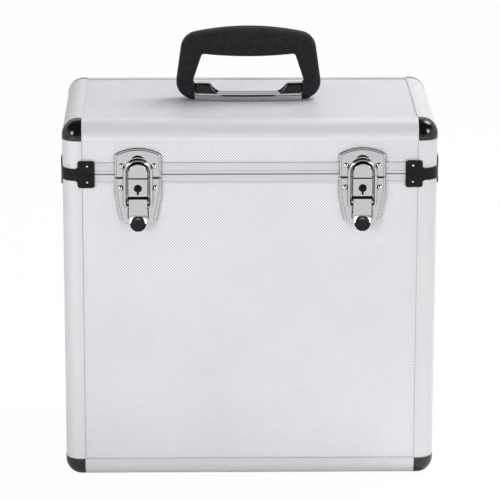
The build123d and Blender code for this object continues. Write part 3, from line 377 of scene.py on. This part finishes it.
def shadeMask(tree, point, halfWidth, reach, low, high):
    # the painted shade's mask:
    # 1 inside the hollow of both latches, down their keyholes, and along the catch's top edge
    aside, depth, rise = latchAxes(tree, point)
    hollow = product(
        tree,
        math2(tree, "LESS_THAN", math2(tree, "ABSOLUTE", aside), halfWidth),
        math2(tree, "GREATER_THAN", depth, railFace - reach),
        math2(tree, "GREATER_THAN", rise, low),
        math2(tree, "LESS_THAN", rise, high),
    )
    below = math2(tree, "ADD", rise, keyhole["drop"])
    hole = math2(tree, "LESS_THAN", hypotenuse(tree, aside, below), keyhole["radius"])
    fromMiddle = math2(tree, "ADD", rise, catchArch["radius"] - catchArch["top"])
    outward = hypotenuse(tree, aside, fromMiddle)
    inner = catchArch["radius"] - catchArch["edge"]
    rim = spread(tree, outward, 0, catchArch["edgeShadow"], inner, inner + catchArch["fade"])
    rim = math2(tree, "MULTIPLY", rim, math2(tree, "GREATER_THAN", rise, catchArch["above"]))
    return math2(tree, "MAXIMUM", math2(tree, "MAXIMUM", hollow, hole), rim)


def plateShadeMarks(tree, point):
    # painted shade on the front plates' pressed border, in the slots beside the lever's
    # lower half, and in the lens-shaped gaps under the catch plate's wings: how dark each spot is
    aside, depth, rise = latchAxes(tree, point)
    aside = math2(tree, "ABSOLUTE", aside)
    foot, top = plateShading["borderEnds"]
    turn = plateShading["borderTurn"]
    border = spread(tree, rise, plateShading["lowBorder"], plateShading["border"], *turn)
    taper = spread(tree, rise, plateShading["borderTaper"], 0, foot, turn[0])
    offBorder = difference(tree, aside, math2(tree, "SUBTRACT", border, taper))
    shadeMarks = product(
        tree,
        spread(tree, offBorder, plateShading["borderShadow"], 0, *plateShading["borderLine"]),
        math2(tree, "LESS_THAN", rise, top),
        math2(tree, "GREATER_THAN", rise, foot),
    )
    for across, high, halfWidth, halfHeight, power in plateShading["gaps"]:
        parts = []
        for value, middle, half in ((aside, across, halfWidth), (rise, high, halfHeight)):
            part = math2(tree, "ABSOLUTE", offCentre(tree, value, middle, half))
            parts.append(math2(tree, "POWER", part, power))
        gap = spread(tree, math2(tree, "ADD", *parts), 1, 0, *plateShading["gapEdge"])
        shadeMarks = math2(tree, "MAXIMUM", shadeMarks, gap)
    return math2(tree, "MULTIPLY", shadeMarks, math2(tree, "LESS_THAN", depth, 0.0))


def tabDish(tree, aside, rise):
    # height of the dish, in metres
    onTab = math2(tree, "LESS_THAN", rise, thumbTab["bend"])
    start = thumbTab["bend"] - thumbTab["roll"]
    climb = math2(tree, "MAXIMUM", math2(tree, "SUBTRACT", rise, start), 0.0)
    roll = thumbTab["rollSlope"] / (2 * thumbTab["roll"])
    rollHeight = math2(tree, "MULTIPLY", square(tree, climb), roll)
    crown = -thumbTab["crown"] / (2 * thumbTab["halfWidth"])
    crownHeight = math2(tree, "MULTIPLY", square(tree, aside), crown)
    # outside a round bowl the tab's two upper corners are turned aside
    lower = math2(tree, "SUBTRACT", rise, thumbTab["bend"] - thumbTab["bowlDrop"])
    outside = math2(tree, "GREATER_THAN", hypotenuse(tree, aside, lower), thumbTab["bowl"])
    corner = math2(tree, "MULTIPLY", outside, math2(tree, "GREATER_THAN", lower, 0.0))
    turned = math2(tree, "MULTIPLY", math2(tree, "ABSOLUTE", aside), -thumbTab["corner"])
    fall = math2(tree, "MULTIPLY", turned, corner)
    dish = math2(tree, "ADD", math2(tree, "ADD", rollHeight, crownHeight), fall)
    return math2(tree, "MULTIPLY", dish, onTab)


def tabHaze(tree, rise):
    # roughness that fades down the tab from its bend
    bend = thumbTab["bend"]
    haze = spread(tree, rise, 0, thumbTab["haze"], bend - thumbTab["hazeReach"], bend)
    return math2(tree, "MULTIPLY", haze, math2(tree, "LESS_THAN", rise, bend))


def makeChrome(name, color, roughness, waviness, inside):
    material, tree, shader = newMaterial(name)
    point = objectPoint(tree)
    waves = noise(tree, point, *chrome["waveNoise"])
    smudges = noise(tree, point, *chrome["smudgeNoise"])
    occlusion = addNode(
        tree, "ShaderNodeAmbientOcclusion", {"samples": 8}, {"Distance": chrome["occlusion"]}
    )
    unoccluded = spread(tree, occlusion.outputs["AO"], 0, 1, *chrome["unoccluded"])
    plate = blendColors(tree, smudges, scaled(color, chrome["wornTone"]), color)
    # painted shade in the crevices, from ambient occlusion
    plate = blendColors(tree, unoccluded, chrome["creviceShade"], plate)
    roughLow, roughHigh = (roughness + change for change in chrome["smudging"])
    rough = spread(tree, smudges, roughLow, roughHigh, *noiseRange)
    height = math2(tree, "MULTIPLY", waves, waviness)
    shader.inputs["Metallic"].default_value = 1.0
    # painted shade over the hollows, keyholes, catch edge and the plates' marks
    if inside:
        paintedShade = shadeMask(tree, point, *shadedHollows[inside])
        if inside == "housing":
            paintedShade = math2(tree, "MAXIMUM", paintedShade, plateShadeMarks(tree, point))
        plate = blendColors(tree, paintedShade, plate, chrome["shadeColor"])
        shadeRough = math2(tree, "MULTIPLY", paintedShade, chrome["shadeRoughness"])
        rough = math2(tree, "MAXIMUM", rough, shadeRough)
        tree.links.new(math2(tree, "SUBTRACT", 1.0, paintedShade), shader.inputs["Metallic"])
        shader.inputs["Specular IOR Level"].default_value = chrome["shadeShine"]
    if inside == "lever":
        aside, _, rise = latchAxes(tree, point)
        height = math2(tree, "ADD", height, tabDish(tree, aside, rise))
        rough = math2(tree, "ADD", rough, tabHaze(tree, rise))
    paint(tree, shader, plate, rough)
    bump(tree, shader, height, 1.0)
    return material


# black mouldings: glossy on the corners, satin on the seam brackets
capPlastic = {
    "color": (0.002, 0.002, 0.0024),
    "rubbed": (0.006, 0.006, 0.0065),
    "roughness": (0.09, 0.21),
    "shine": 0.7,
}
bracketPlastic = {
    "color": (0.003, 0.003, 0.0032),
    "rubbed": (0.007, 0.007, 0.0072),
    "roughness": (0.20, 0.32),
    "shine": 0.20,
}
mouldedSkin = {"hazeNoise": (120, 5), "noise": (900, 2), "relief": 0.006 * mm}


def makeMoulding(name, moulding):
    material, tree, shader = newMaterial(name)
    point = objectPoint(tree)
    haze = noise(tree, point, *mouldedSkin["hazeNoise"])
    color = blendColors(tree, haze, moulding["color"], moulding["rubbed"])
    paint(tree, shader, color, spread(tree, haze, *moulding["roughness"], *noiseRange))
    shader.inputs["Specular IOR Level"].default_value = moulding["shine"]
    bump(tree, shader, noise(tree, point, *mouldedSkin["noise"]), mouldedSkin["relief"])
    return material


# leather-grained handle with wrinkles between the pebbles, painted shade in the wrinkles, and a
# mould line down the middle
handlePlastic = {
    "color": (0.0118, 0.0112, 0.0134),
    "rubbed": (0.0210, 0.0200, 0.0236),
    # how much darker the wrinkles are, as painted shade
    "creaseShadeTone": 0.45,
    "roughness": (0.67, 0.50),          # in the wrinkles, and on the pebbles
    "shine": 0.25,
    "grain": 0.9 * mm,
    "wanderNoise": (420.0, 3.0),
    "wander": 0.6 * mm,                 # how far the pebbles' outlines stray
    "wrinkle": 0.22,                    # a wrinkle's share of its pebble
    "fineNoise": (2600, 2),
    "fine": 0.25,                       # share of the fine grain on the pebbles
    "relief": 0.26 * mm,
    "mouldLine": (0.066 * mm, 0.22 * mm),
    "mouldHeight": 3.0,
    # the most that wear and mottle show, and the noise values between which they set in
    "wearNoise": (38, 4),
    "wear": (0.5, 0.45, 0.8),
    "mottleNoise": (480, 2),
    "mottle": (0.9, 0.48, 0.66),
}


def makeHandlePlastic():
    material, tree, shader = newMaterial("handlePlastic")
    point = objectPoint(tree)
    scale, detail = handlePlastic["wanderNoise"]
    wander = addNode(
        tree, "ShaderNodeTexNoise", None, {"Vector": point, "Scale": scale, "Detail": detail}
    )
    swirl = addNode(
        tree, "ShaderNodeVectorMath", {"operation": "SCALE"},
        {0: wander.outputs["Color"], "Scale": handlePlastic["wander"]},
    )
    bent = addNode(
        tree, "ShaderNodeVectorMath", {"operation": "ADD"}, {0: point, 1: swirl.outputs[0]}
    )
    cells = addNode(
        tree, "ShaderNodeTexVoronoi", {"feature": "DISTANCE_TO_EDGE"},
        {"Vector": bent.outputs[0], "Scale": 1 / handlePlastic["grain"]},
    )
    pebble = spread(tree, cells.outputs["Distance"], 0, 1, 0.0, handlePlastic["wrinkle"])
    fine = noise(tree, point, *handlePlastic["fineNoise"])
    fine = math2(tree, "MULTIPLY", fine, handlePlastic["fine"])
    offLine = math2(tree, "ABSOLUTE", splitAxes(tree, point)[1])
    ridge = spread(tree, offLine, handlePlastic["mouldHeight"], 0, *handlePlastic["mouldLine"])
    # painted shade in the wrinkles
    creaseShaded = scaled(handlePlastic["color"], handlePlastic["creaseShadeTone"])
    color = blendColors(tree, pebble, creaseShaded, handlePlastic["color"])
    for name in ("wear", "mottle"):
        patches = noise(tree, point, *handlePlastic[name + "Noise"])
        shown = spread(tree, patches, 0, *handlePlastic[name])
        color = blendColors(tree, shown, color, handlePlastic["rubbed"])
    paint(tree, shader, color, spread(tree, pebble, *handlePlastic["roughness"]))
    shader.inputs["Specular IOR Level"].default_value = handlePlastic["shine"]
    height = math2(tree, "ADD", math2(tree, "ADD", pebble, fine), ridge)
    bump(tree, shader, height, handlePlastic["relief"])
    return material


# black closed-cell foam inside, with painted shade in its cells' pits
foam = {
    "color": (0.020, 0.020, 0.022),
    "pitShading": 2.1,                # walls lighter than the pits: painted shade
    "dust": (0.052, 0.052, 0.054),
    "dustNoise": (30, 5),
    "dusting": (0.4, 0.45, 0.8),    # the most it shows, and the noise values where it sets in
    "roughness": 0.92,
    "sheen": 0.15,
    "cell": 0.7 * mm,
    "lumpNoise": (260, 3),
    "lumps": 0.8,
    "relief": 0.16 * mm,
}


def makeFoam():
    material, tree, shader = newMaterial("foam")
    point = objectPoint(tree)
    cells = addNode(
        tree, "ShaderNodeTexVoronoi", {"feature": "F1"},
        {"Vector": point, "Scale": 1 / foam["cell"]},
    )
    walls = cells.outputs["Distance"]
    # painted shade in the cells' pits
    color = blendColors(tree, walls, foam["color"], scaled(foam["color"], foam["pitShading"]))
    dust = spread(tree, noise(tree, point, *foam["dustNoise"]), 0, *foam["dusting"])
    color = blendColors(tree, dust, color, foam["dust"])
    tree.links.new(color, shader.inputs["Base Color"])
    shader.inputs["Roughness"].default_value = foam["roughness"]
    shader.inputs["Sheen Weight"].default_value = foam["sheen"]
    lumps = math2(tree, "MULTIPLY", noise(tree, point, *foam["lumpNoise"]), foam["lumps"])
    bump(tree, shader, math2(tree, "ADD", walls, lumps), foam["relief"])
    return material


# black finish for the thin sheets under the latches, which stand in for shade
sheetBlack = {
    "color": (0.008, 0.008, 0.008),
    "bloom": (0.016, 0.016, 0.015),
    "bloomNoise": (90, 4),
    "roughness": (0.75, 0.9),
    "shine": 0.2,
    "skinNoise": (1500, 2),
    "relief": 0.02 * mm,
}


def makeSheetBlack():
    material, tree, shader = newMaterial("shadeSheetBlack")
    point = objectPoint(tree)
    bloom = noise(tree, point, *sheetBlack["bloomNoise"])
    color = blendColors(tree, bloom, sheetBlack["color"], sheetBlack["bloom"])
    paint(tree, shader, color, spread(tree, bloom, *sheetBlack["roughness"]))
    shader.inputs["Specular IOR Level"].default_value = sheetBlack["shine"]
    bump(tree, shader, noise(tree, point, *sheetBlack["skinNoise"]), sheetBlack["relief"])
    return material


finish = {
    "laminateFront": makeLaminate(
        "laminateFront", xAxis, zAxis, acrossEdges, heightEdges, laminate["wallLipShadows"]
    ),
    "laminateSide": makeLaminate(
        "laminateSide", yAxis, zAxis, depthEdges, heightEdges, laminate["wallLipShadows"]
    ),
    "laminateTop": makeLaminate(
        "laminateTop", xAxis, yAxis, acrossEdges, depthEdges, laminate["topLipShadows"],
        laminate["topColumns"],
    ),
    **{name: makeAnodised(name, *values) for name, values in anodisedFinishes.items()},
    **{name: makeChrome(name, *values) for name, values in metalFinishes.items()},
    "capPlastic": makeMoulding("capPlastic", capPlastic),
    "bracketPlastic": makeMoulding("bracketPlastic", bracketPlastic),
    "handlePlastic": makeHandlePlastic(),
    "foam": makeFoam(),
    "sheetBlack": makeSheetBlack(),
}
print("materials made,", len(finish))


def dress(nodeName, material):
    mesh = nodes[nodeName].data
    mesh.materials.clear()
    mesh.materials.append(material)


def chooseFinish(name):
    if name.endswith("panel"):
        if "front" in name or "back" in name:
            return "laminateFront"
        return "laminateTop" if "floor" in name or "top" in name else "laminateSide"
    if "rim_rail" in name:
        return "anodisedX" if "front" in name or "back" in name else "anodisedY"
    if "corner_posts" in name:
        return "anodisedZ"
    if name.endswith("edges"):
        return "anodisedEdge" if "top" in name else "anodisedFoot"
    if "seam_bracket_rivets" in name:
        return "brightPin"
    if "rivets" in name:
        return "nickel"
    if "corner_caps" in name:
        return "capPlastic"
    if "seam_brackets" in name:
        return "bracketPlastic"
    if "lining" in name or "pad" in name:
        return "foam"
    if name == "handle":
        return "handlePlastic"
    if "bolt" in name or "latch_pin" in name:
        return "blackSteel"
    if "hinge_pin" in name or "backing" in name:
        return "zinc"
    if "lever" in name:
        return "leverChrome"
    return "latchChrome" if name.endswith("_plate") else "chrome"


for nodeName in nodes:
    dress(nodeName, finish[chooseFinish(nodeName)])
print("CAD nodes dressed")


def addObject(name, data):
    thing = bpy.data.objects.new(name, data)
    bpy.context.scene.collection.objects.link(thing)
    return thing


def addPiece(name, bm, material, body):
    mesh = bpy.data.meshes.new(name)
    bmesh.ops.recalc_face_normals(bm, faces=bm.faces)
    for face in bm.faces:
        face.smooth = True
    bm.to_mesh(mesh)
    bm.free()
    mesh.materials.append(material)
    piece = addObject(name, mesh)
    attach(piece, body)
    return piece


# soft foam in place of the plain pads and linings, with rounded rims and an uneven skin
foamPieces = {
    # name: CAD node, body
    "foamBaseFloor": ("base_floor_pad", "base"),
    "foamBaseWalls": ("base_wall_linings", "base"),
    "foamLidTop": ("lid_top_pad", "lid"),
    "foamLidWalls": ("lid_wall_linings", "lid"),
}
foamShape = {
    "weld": 0.01 * mm,
    "flat": math.radians(1),        # edges flatter than this are dissolved
    "sharp": math.radians(60),      # convex edges sharper than this are rims
    "rim": 1.1 * mm,
    "rimSegments": 3,
    "pitch": 13 * mm,
    "sink": 0.55 * mm,      # how deep the skin's hollows go
    "swell": 26 * mm,       # size of the hollows
}


def makeFoamPiece(name, nodeName, body):
    bm = bmesh.new()
    bm.from_mesh(nodes[nodeName].data)
    bmesh.ops.remove_doubles(bm, verts=bm.verts, dist=foamShape["weld"])
    bmesh.ops.dissolve_limit(
        bm, angle_limit=foamShape["flat"], verts=bm.verts, edges=bm.edges, delimit=set()
    )
    rims = [
        edge for edge in bm.edges
        if edge.is_convex and edge.calc_face_angle(0) > foamShape["sharp"]
    ]
    bmesh.ops.bevel(
        bm, geom=rims, offset=foamShape["rim"], affect="EDGES", segments=foamShape["rimSegments"],
        profile=0.5, material=-1, clamp_overlap=True,
    )
    for axis in range(3):
        places = [vertex.co[axis] for vertex in bm.verts]
        low, high = min(places), max(places)
        normal = Vector([float(index == axis) for index in range(3)])
        for step in range(1, int((high - low) / foamShape["pitch"])):
            everything = list(bm.verts) + list(bm.edges) + list(bm.faces)
            bmesh.ops.bisect_plane(
                bm, geom=everything, plane_co=normal * (low + step * foamShape["pitch"]),
                plane_no=normal,
            )
    bm.normal_update()
    for vertex in bm.verts:
        hollow = 0.5 + 0.5 * spaceNoise.noise(vertex.co / foamShape["swell"])
        vertex.co -= vertex.normal * foamShape["sink"] * min(1.0, max(0.0, hollow))
    piece = addPiece(name, bm, finish["foam"], body)
    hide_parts(nodeName)


for pieceName, (nodeName, body) in foamPieces.items():
    makeFoamPiece(pieceName, nodeName, body)
print("foam laid,", len(foamPieces))

# thin black sheets between the panels and the latches' plates, seen through their openings: dark
# sheets put where there is only shade, as painted shade
shadeSheet = {
    "thickness": 0.4 * mm,
    "rail": 0.25 * mm,      # gap to the rail beside it
    "lidTop": 22.0 * mm,    # heights are above the seam
    "lidDrop": 4.0 * mm,    # how much lower the arched top is at the sides
    "lidHalfWidth": 17.5 * mm,
    "baseLow": -46.0 * mm,
    "baseHalfWidth": 14.0 * mm,
    "baseTaper": 3.0 * mm,
    "arcSteps": 12,
    "bevel": 0.15 * mm,
}


def makeShadeSheet(name, middle, outline, faceY, body):
    # outline holds sideways and upward places, going round
    bm = bmesh.new()
    front = [bm.verts.new((middle + x, faceY - shadeSheet["thickness"], z)) for x, z in outline]
    face = bm.faces.new(front)
    grown = bmesh.ops.extrude_face_region(bm, geom=[face])
    for vertex in grown["geom"]:
        if isinstance(vertex, bmesh.types.BMVert):
            vertex.co.y = faceY
    bmesh.ops.bevel(
        bm, geom=list(face.edges), offset=shadeSheet["bevel"], affect="EDGES", segments=1,
        profile=0.5, material=-1,
    )
    addPiece(name, bm, finish["sheetBlack"], body)


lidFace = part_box("lid_front_panel")[0].y
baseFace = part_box("base_front_panel")[0].y
for sideName, side in (("left", -1), ("right", 1)):
    reach = shadeSheet["lidHalfWidth"]
    arch = []
    for step in range(shadeSheet["arcSteps"] + 1):
        x = reach - 2 * reach * step / shadeSheet["arcSteps"]
        arch.append((x, seamHeight + shadeSheet["lidTop"] - shadeSheet["lidDrop"] * (x / reach) ** 2))
    low = lidRailHigh.z + shadeSheet["rail"]
    makeShadeSheet(
        f"{sideName}CatchShadeSheet", side * latchAcross,
        [(-reach, low), (reach, low), *arch], lidFace, "lid",
    )
    reach = shadeSheet["baseHalfWidth"]
    narrow = reach - shadeSheet["baseTaper"]
    high = baseRailLow.z - shadeSheet["rail"]
    low = seamHeight + shadeSheet["baseLow"]
    makeShadeSheet(
        f"{sideName}LatchShadeSheet", side * latchAcross,
        [(-narrow, low), (narrow, low), (reach, high), (-reach, high)], baseFace, "base",
    )
print("shadeSheets laid, 4")


# the studio: a pale floor, soft boxes, and a surround that gloss sees as a dim room in front, with
# bright sides and a few glows, and a white backdrop overhead and behind
studio = {
    "floorSize": 12.0,
    "floorColor": (0.95, 0.95, 0.95),
    "floorRoughness": 0.9,
    "floorGlow": 0.96,      # share of plain white in the floor as the camera sees it
    "surround": 0.50,       # strength of the light from all round
    "sideShade": 0.35,      # how much weaker it is at the sides, and where that starts and ends
    "sideShadeBlend": (0.5, 0.95),
    # what gloss sees in place of that light and the lamps. Angles run up from the horizon in front,
    # over the top, to the horizon behind.
    "backdrop": (0.95, 0.95, 0.95),
    "backdropBlend": (math.radians(120), math.radians(140)),
    "roomLow": (0.034, 0.040, 0.048),
    "roomHigh": (0.042, 0.041, 0.036),
    "roomBlend": (math.radians(35), math.radians(60)),
    "roomSides": (0.72, 0.72, 0.73),
    "roomSidesBlend": (0.8, 0.97),
    "behind": 0.25,         # the backdrop's tone where it has darkened, low behind
    "behindBlend": (math.radians(155), math.radians(175)),
    "horizon": (math.radians(1), math.radians(5)),
    # where a glow is full and where it ends, as squared shares of its reach
    "glowEdge": (0.25, 1),
    "glows": [
        # sideways, angle up, their reach, and strength
        (-0.66, math.radians(26), 0.17, math.radians(18), 8.0),
        (0.68, math.radians(36), 0.18, math.radians(20), 8.5),
        (0.46, math.radians(114), 0.26, math.radians(17), 9.0),
        (0.0, math.radians(106), 0.60, math.radians(8), 0.09),
    ],
    "aim": (0, 0, 0.18),
    "boxes": {
        # name: place, size, power
        "leftBox": ((-1.55, -2.0, 0.75), (0.8, 0.8), 24),
        "rightBox": ((1.5, -2.2, 0.6), (0.9, 0.9), 14.5),
        "topBox": ((0.88, 0.45, 1.6), (1.0, 1.0), 22),
    },
}


def makeFloor():
    bm = bmesh.new()
    bmesh.ops.create_grid(bm, x_segments=1, y_segments=1, size=studio["floorSize"] / 2)
    mesh = bpy.data.meshes.new("floor")
    bm.to_mesh(mesh)
    bm.free()
    floor = addObject("floor", mesh)
    material, tree, shader = newMaterial("floorPaper")
    shader.inputs["Base Color"].default_value = (*studio["floorColor"], 1)
    shader.inputs["Roughness"].default_value = studio["floorRoughness"]
    white = addNode(tree, "ShaderNodeEmission", None, {"Strength": 1.0})
    ray = addNode(tree, "ShaderNodeLightPath")
    share = math2(tree, "MULTIPLY", ray.outputs["Is Camera Ray"], studio["floorGlow"])
    seen = mixShaders(tree, share, shader.outputs[0], white.outputs[0])
    tree.links.new(seen, tree.nodes["Material Output"].inputs[0])
    mesh.materials.append(material)


def makeLamp(name, place, size, power):
    data = bpy.data.lights.new(name, "AREA")
    data.shape = "RECTANGLE"
    data.size, data.size_y = size
    data.energy = power
    lamp = addObject(name, data)
    lamp.location = place
    aim = Vector(studio["aim"]) - Vector(place)
    lamp.rotation_euler = aim.to_track_quat("-Z", "Y").to_euler()
    lamp.visible_camera = False
    lamp.visible_glossy = False


def mirroredRoom(tree, sideways, aside, upward):
    # the room's colour as gloss sees it, by direction
    upper = spread(tree, upward, 0, 1, *studio["roomBlend"])
    room = blendColors(tree, upper, studio["roomLow"], studio["roomHigh"])
    beside = spread(tree, aside, 0, 1, *studio["roomSidesBlend"])
    room = blendColors(tree, beside, room, studio["roomSides"])
    pale = math2(
        tree, "MAXIMUM",
        spread(tree, upward, 0, 1, *studio["backdropBlend"]),
        spread(tree, upward, 1, 0, *studio["horizon"]),
    )
    room = blendColors(tree, pale, room, studio["backdrop"])
    falling = spread(tree, upward, 0, 1, *studio["behindBlend"])
    dimmed = blendColors(tree, falling, room, (studio["behind"],) * 3)
    isBehind = math2(tree, "GREATER_THAN", upward, studio["behindBlend"][0])
    room = blendColors(tree, isBehind, room, dimmed)
    glow = 0.0
    for across, up, width, height, strength in studio["glows"]:
        parts = [
            square(tree, offCentre(tree, value, middle, size))
            for value, middle, size in ((sideways, across, width), (upward, up, height))
        ]
        patch = spread(tree, math2(tree, "ADD", *parts), strength, 0, *studio["glowEdge"])
        glow = math2(tree, "ADD", patch, glow)
    return blendColors(tree, 1.0, room, glow, "ADD")


def makeWorld():
    # soft light from all round falls on the object. Gloss sees the room, and the camera sees white.
    world = bpy.data.worlds.new("studioSurround")
    bpy.context.scene.world = world
    world.use_nodes = True
    tree = world.node_tree
    tree.nodes.clear()
    ray = addNode(tree, "ShaderNodeLightPath")
    direction = addNode(tree, "ShaderNodeTexCoord")
    sideways, depth, height = splitAxes(tree, direction.outputs["Generated"])
    upward = math2(tree, "ARCTAN2", height, math2(tree, "MULTIPLY", depth, -1.0))
    aside = math2(tree, "ABSOLUTE", sideways)
    shade = spread(tree, aside, 1, 1 - studio["sideShade"], *studio["sideShadeBlend"])
    room = mirroredRoom(tree, sideways, aside, upward)
    kind = "ShaderNodeBackground"
    soft = addNode(tree, kind, None, {"Color": shade, "Strength": studio["surround"]})
    glossy = addNode(tree, kind, None, {"Color": room, "Strength": 1.0})
    white = addNode(tree, kind, None, {"Color": (1, 1, 1, 1), "Strength": 1.0})
    seen = mixShaders(tree, ray.outputs["Is Glossy Ray"], soft.outputs[0], glossy.outputs[0])
    seen = mixShaders(tree, ray.outputs["Is Camera Ray"], seen, white.outputs[0])
    addNode(tree, "ShaderNodeOutputWorld", None, {0: seen})


makeFloor()
makeWorld()
for lampName, (place, size, power) in studio["boxes"].items():
    makeLamp(lampName, place, size, power)
print("studio lit")

# the camera, at the angle and distance of a long product lens
view = {
    "place": (-0.05348, -2.95656, 1.02565),
    "pitchDown": 0.27315,
    "yaw": 0.01871,
    "roll": 0.001726,
    "lens": 226.6,
    "sensor": 36,
    "reach": 50,
}


def makeCamera():
    data = bpy.data.cameras.new("camera")
    data.lens = view["lens"]
    data.sensor_width = view["sensor"]
    data.clip_end = view["reach"]
    camera = addObject("camera", data)
    turn = Matrix.Rotation(-view["yaw"], 4, "Z")
    tilt = Matrix.Rotation(math.pi / 2 - view["pitchDown"], 4, "X")
    roll = Matrix.Rotation(view["roll"], 4, "Z")
    camera.matrix_world = Matrix.Translation(view["place"]) @ turn @ tilt @ roll
    bpy.context.scene.camera = camera


makeCamera()
bpy.context.scene.view_settings.view_transform = "Standard"
print("camera set")
